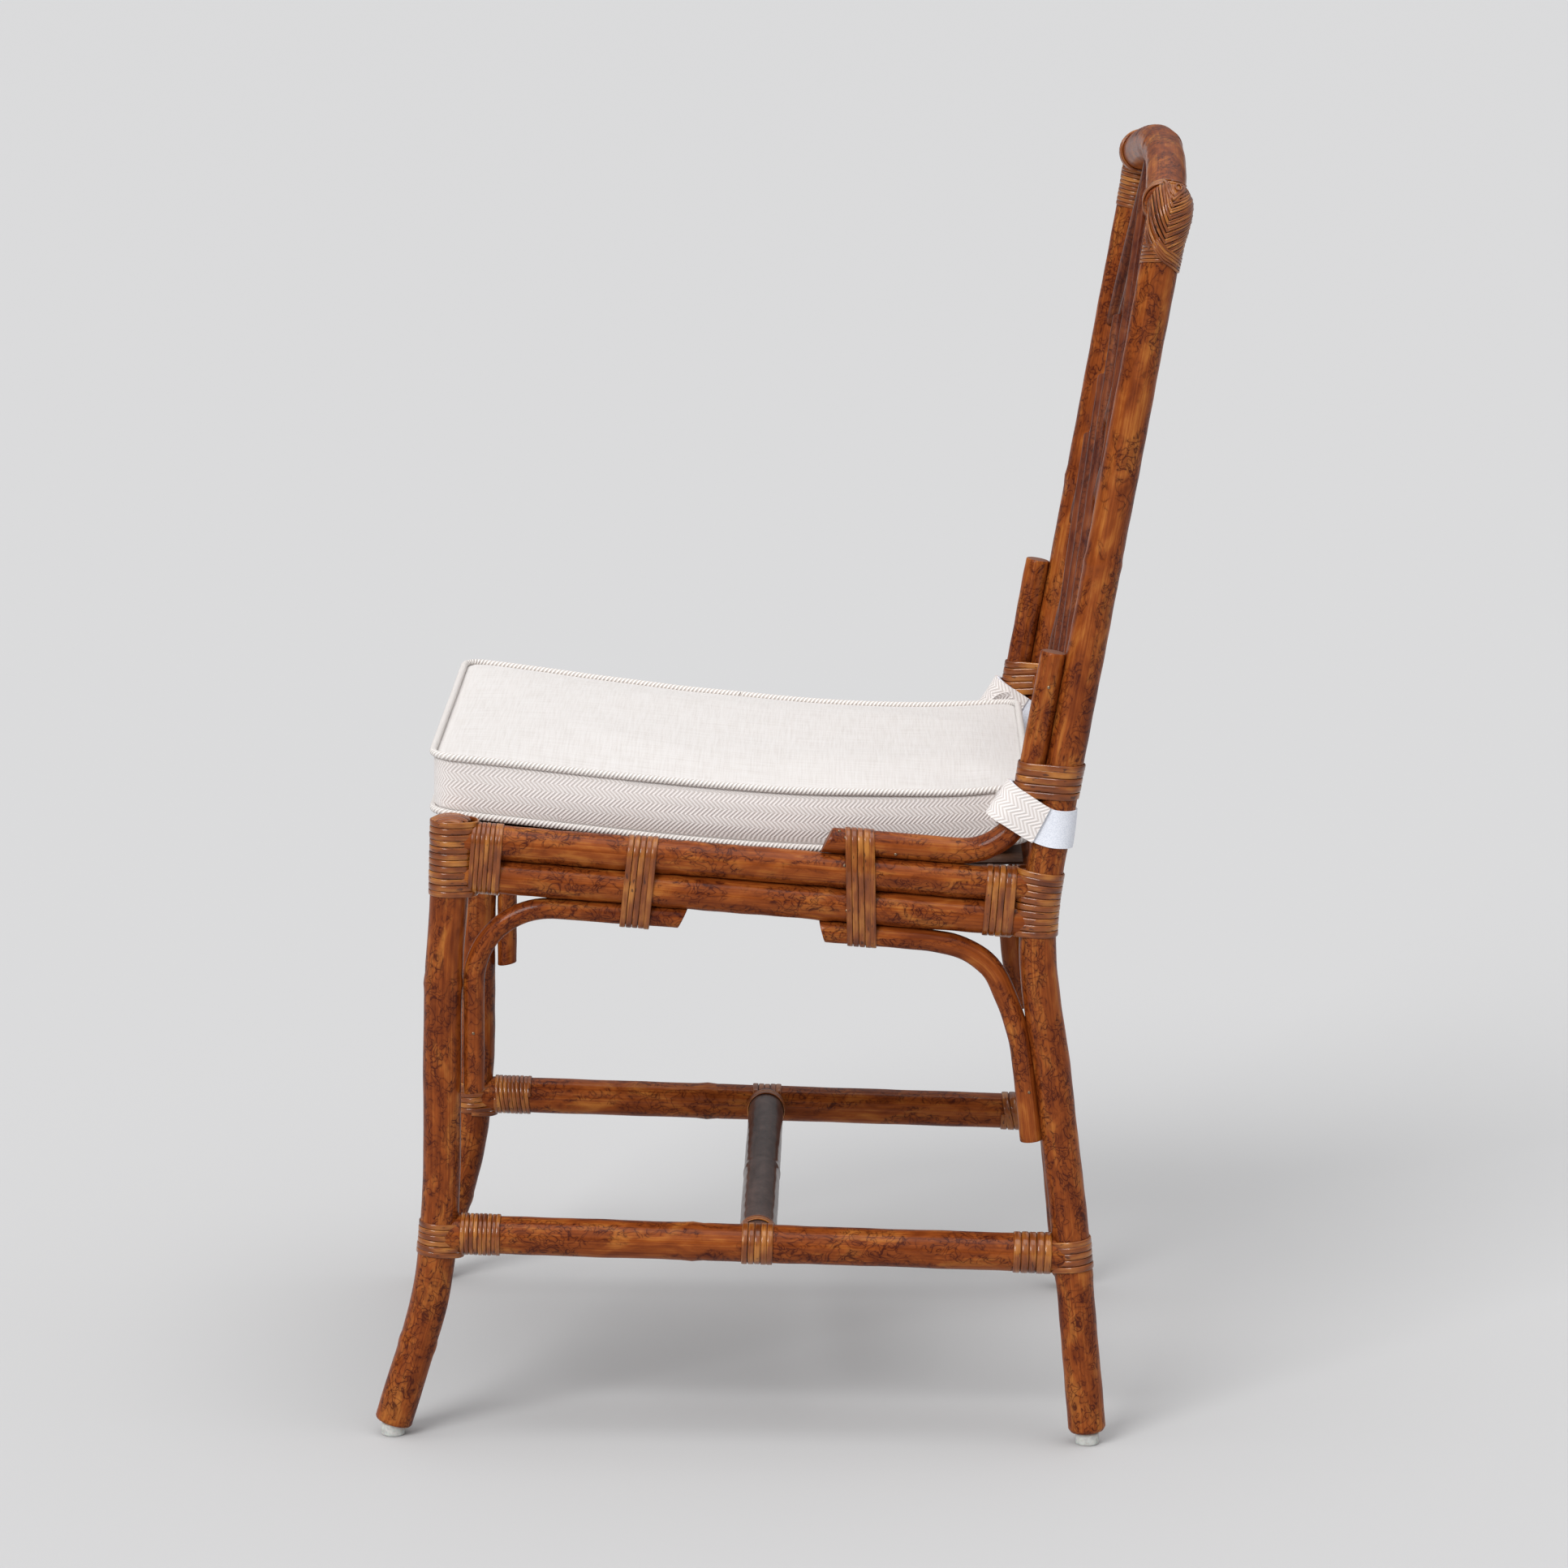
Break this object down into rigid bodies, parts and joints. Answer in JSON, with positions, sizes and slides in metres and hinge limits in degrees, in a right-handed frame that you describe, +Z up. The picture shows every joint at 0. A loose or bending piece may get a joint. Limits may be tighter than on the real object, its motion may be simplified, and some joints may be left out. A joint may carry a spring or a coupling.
{
  "type": "rattan dining chair",
  "caption": "Dining chair with a bent rattan pole frame, lattice back, peel-bound joints and a welted seat cushion tied on by straps.",
  "frame": {"origin": "on the floor under the middle of the chair's bounding box", "axes": "+Z up, the chair faces -Y, +X to the sitter's left"},
  "size_m": [0.4514, 0.5746, 0.9298],
  "materials": {
    "rattan": "glossy lacquered rattan pole, amber brown with dark mottling",
    "dark_rattan": "glossy dark purple-brown lacquered rattan pole",
    "cane_peel": "glossy lacquered cane peel",
    "seat_core": "dull natural rattan core",
    "glide": "milky translucent nylon",
    "cushion_cover": "cream herringbone twill and slub weave",
    "strap_webbing": "cream twill with a hook-and-loop end"
  },
  "bodies": {
    "frame": {"back_brace_left": "rattan", "back_brace_right": "rattan", "crest_binding_left": "cane_peel", "crest_binding_right": "cane_peel", "crest_rail": "rattan", "cross_stretcher": "dark_rattan", "cross_stretcher_binding_left": "cane_peel", "cross_stretcher_binding_right": "cane_peel", "front_brace_left": "rattan", "front_brace_right": "rattan", "front_corner_binding_left": "cane_peel", "front_corner_binding_right": "cane_peel", "front_leg_left": "rattan", "front_leg_right": "rattan", "front_rail_binding_left": "cane_peel", "front_rail_binding_right": "cane_peel", "front_rail_lower": "rattan", "front_rail_upper": "rattan", "front_stretcher_binding_left": "cane_peel", "front_stretcher_binding_right": "cane_peel", "glide_front_left": "glide", "glide_front_right": "glide", "glide_rear_left": "glide", "glide_rear_right": "glide", "lattice_corner_left": "rattan", "lattice_corner_right": "rattan", "lattice_inner_lower_left": "rattan", "lattice_inner_lower_right": "rattan", "lattice_inner_middle_left": "rattan", "lattice_inner_middle_right": "rattan", "lattice_inner_upper_left": "rattan", "lattice_inner_upper_right": "rattan", "lattice_long_left": "rattan", "lattice_long_right": "rattan", "lower_back_rail": "rattan", "post_binding_left": "cane_peel", "post_binding_right": "cane_peel", "rear_brace_left": "rattan", "rear_brace_right": "rattan", "rear_corner_binding_left": "cane_peel", "rear_corner_binding_right": "cane_peel", "rear_post_left": "rattan", "rear_post_right": "rattan", "rear_rail_binding_left": "cane_peel", "rear_rail_binding_right": "cane_peel", "rear_rail_lower": "rattan", "rear_rail_upper": "rattan", "rear_stretcher_binding_left": "cane_peel", "rear_stretcher_binding_right": "cane_peel", "seat_panel": "seat_core", "side_rail_lower_left": "rattan", "side_rail_lower_right": "rattan", "side_rail_upper_left": "rattan", "side_rail_upper_right": "rattan", "side_stretcher_left": "rattan", "side_stretcher_right": "rattan", "strap_left": "strap_webbing", "strap_right": "strap_webbing"},
    "cushion": {"cushion": "cushion_cover"}
  },
  "joints": [
    {"name": "cushion_tilt", "type": "hinge", "parent": "frame", "child": "cushion", "pos_m": [0, 0.175, 0.4705], "axis": [-1, 0, 0], "range_deg": [0, 80]}
  ]
}
